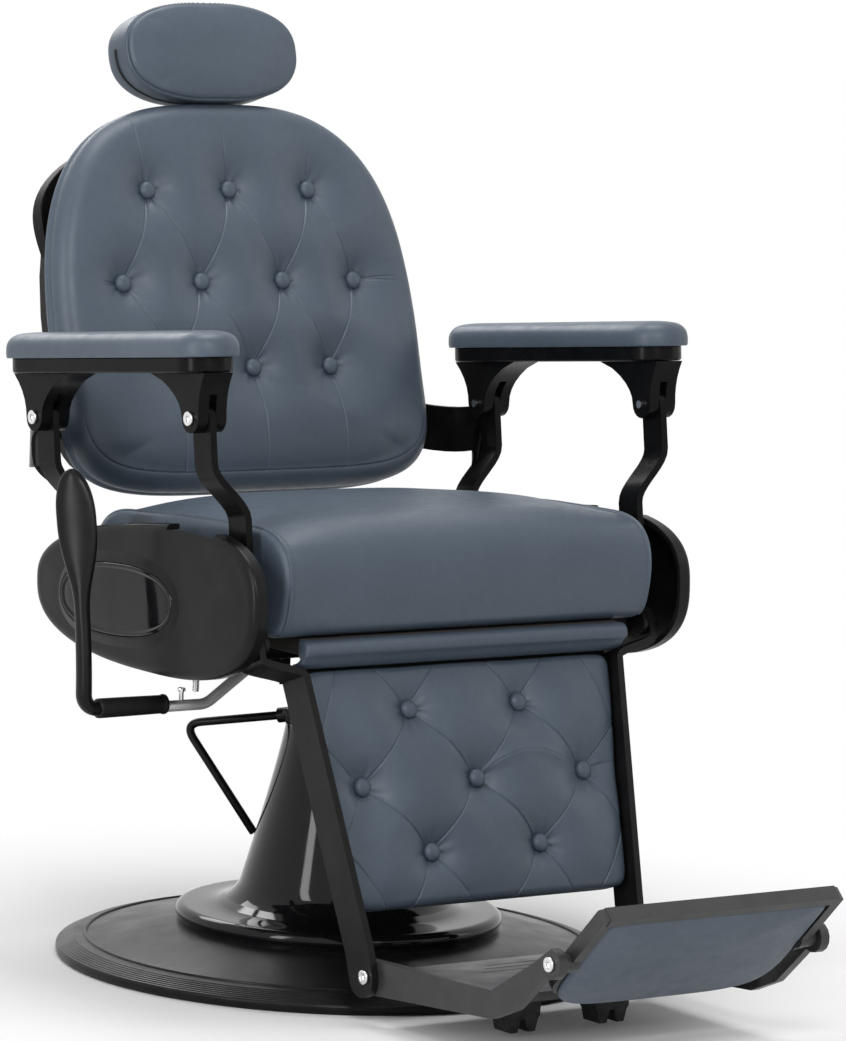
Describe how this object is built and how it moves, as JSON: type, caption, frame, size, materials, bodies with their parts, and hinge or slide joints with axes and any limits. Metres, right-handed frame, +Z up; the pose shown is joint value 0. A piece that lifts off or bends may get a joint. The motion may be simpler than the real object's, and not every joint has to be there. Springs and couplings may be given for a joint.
{
  "type": "barber chair",
  "caption": "Reclining barber chair on a round lift and swivel base, with a tufted back and legrest, linked padded arms, headrest and flip-over footrest.",
  "frame": {"origin": "centre of the base's underside, on the floor", "axes": "+Z up along the lift column, -Y the way the chair faces, -X to the sitter's right"},
  "size_m": [0.7337, 1.1177, 1.1003],
  "materials": {
    "upholstery": "smooth blue-grey leather, soft sheen",
    "black_paint": "satin black paint",
    "gloss_black": "high gloss black",
    "grey_casting": "dark grey coated casting",
    "polished_steel": "polished",
    "black_rubber": "matt",
    "plywood": "bare plywood"
  },
  "bodies": {
    "base": {"base_plate": "black_paint", "column_skirt": "gloss_black", "pump_cylinder": "polished_steel", "column_collar": "black_paint"},
    "lock": {"swivel_lock_bar": "black_paint"},
    "lift": {"lift_ram": "polished_steel"},
    "seat": {"swivel_hub": "black_paint", "seat_frame": "black_paint", "seat_board": "plywood", "seat_cushion": "upholstery", "apron_roll": "upholstery", "stop_bolt": "polished_steel", "lever_bracket": "black_paint", "side_plate_left": "black_paint", "side_plate_right": "black_paint", "side_cover_left": "black_paint", "side_cover_right": "black_paint", "cover_badge_left": "gloss_black", "cover_badge_right": "gloss_black"},
    "lever": {"lever_rod": "polished_steel", "lever_sleeve": "black_paint", "lever_grip": "black_paint", "clamp_screw": "polished_steel"},
    "back": {"back_cushion": "upholstery", "back_board": "plywood", "back_shell": "black_paint", "post_guide": "black_paint", "back_bracket_left": "black_paint", "back_bracket_right": "black_paint", "back_handle_left": "black_paint", "back_handle_right": "black_paint"},
    "headrest": {"headrest_cushion": "upholstery", "headrest_post": "polished_steel"},
    "legrest": {"legrest_cushion": "upholstery", "legrest_board": "black_paint", "legrest_bar_left": "black_paint", "legrest_bar_right": "black_paint"},
    "footplate": {"footplate": "grey_casting", "rubber_foot_left": "black_rubber", "rubber_foot_right": "black_rubber", "footplate_screw_left": "polished_steel", "footplate_screw_right": "polished_steel"},
    "footrest": {"footrest_tray": "grey_casting", "footrest_pad": "upholstery", "hinge_pin_left": "polished_steel", "hinge_pin_right": "polished_steel"},
    "strap_left": {"arm_strap_left": "black_paint"},
    "arm_left": {"arm_pad_left": "upholstery", "arm_plate_left": "black_paint", "front_fork_left": "black_paint", "rear_fork_left": "black_paint", "front_pin_left": "polished_steel", "rear_pin_left": "polished_steel"},
    "strap_right": {"arm_strap_right": "black_paint"},
    "arm_right": {"arm_pad_right": "upholstery", "arm_plate_right": "black_paint", "front_fork_right": "black_paint", "rear_fork_right": "black_paint", "front_pin_right": "polished_steel", "rear_pin_right": "polished_steel"}
  },
  "joints": [
    {"name": "lock_turn", "type": "hinge", "parent": "base", "child": "lock", "pos_m": [-0.04273, 0.06103, 0.2825], "axis": [-0.5654, 0.8075, -0.168], "range_deg": [0, 20]},
    {"name": "lift", "type": "slide", "parent": "base", "child": "lift", "axis": [0, 0, 1], "range_m": [0, 0.15]},
    {"name": "swivel", "type": "hinge", "parent": "lift", "child": "seat", "pos_m": [0, 0, 0.372], "axis": [0, 0, 1], "continuous": true},
    {"name": "lever_pump", "type": "hinge", "parent": "seat", "child": "lever", "pos_m": [-0.105, 0, 0.366], "axis": [0, -1, 0], "range_deg": [0, 15], "stiffness_Nm_per_rad": 20, "springref_deg": -20.05},
    {"name": "recline", "type": "hinge", "parent": "seat", "child": "back", "pos_m": [0, 0.145, 0.455], "axis": [-1, 0, 0], "range_deg": [0, 36]},
    {"name": "headrest_slide", "type": "slide", "parent": "back", "child": "headrest", "axis": [0, 0.2773, 0.9608], "range_m": [0, 0.1]},
    {"name": "legrest_raise", "type": "hinge", "parent": "seat", "child": "legrest", "pos_m": [0, -0.2058, 0.4128], "axis": [-1, 0, 0], "range_deg": [0, 32.4]},
    {"name": "footplate_fold", "type": "hinge", "parent": "legrest", "child": "footplate", "pos_m": [0, -0.32887, 0.05539], "axis": [-1, 0, 0], "range_deg": [0, 45]},
    {"name": "footrest_flip", "type": "hinge", "parent": "footplate", "child": "footrest", "pos_m": [0, -0.652, 0.129], "axis": [-1, 0, 0], "range_deg": [0, 125]},
    {"name": "strap_left_turn", "type": "hinge", "parent": "seat", "child": "strap_left", "pos_m": [0.2745, -0.17821, 0.48709], "axis": [-1, 0, 0], "range_deg": [0, 36]},
    {"name": "arm_left_turn", "type": "hinge", "parent": "strap_left", "child": "arm_left", "pos_m": [0.316, -0.1523, 0.6614], "axis": [-1, 0, 0], "range_deg": [-36, 0]},
    {"name": "strap_right_turn", "type": "hinge", "parent": "seat", "child": "strap_right", "pos_m": [-0.2745, -0.17821, 0.48709], "axis": [-1, 0, 0], "range_deg": [0, 36]},
    {"name": "arm_right_turn", "type": "hinge", "parent": "strap_right", "child": "arm_right", "pos_m": [-0.316, -0.1523, 0.6614], "axis": [-1, 0, 0], "range_deg": [-36, 0]}
  ],
  "couplings": [
    {"joint": "legrest_raise", "follows": "recline", "ratio": 0.9},
    {"joint": "strap_left_turn", "follows": "recline", "ratio": 1},
    {"joint": "arm_left_turn", "follows": "recline", "ratio": -1},
    {"joint": "strap_right_turn", "follows": "recline", "ratio": 1},
    {"joint": "arm_right_turn", "follows": "recline", "ratio": -1}
  ]
}
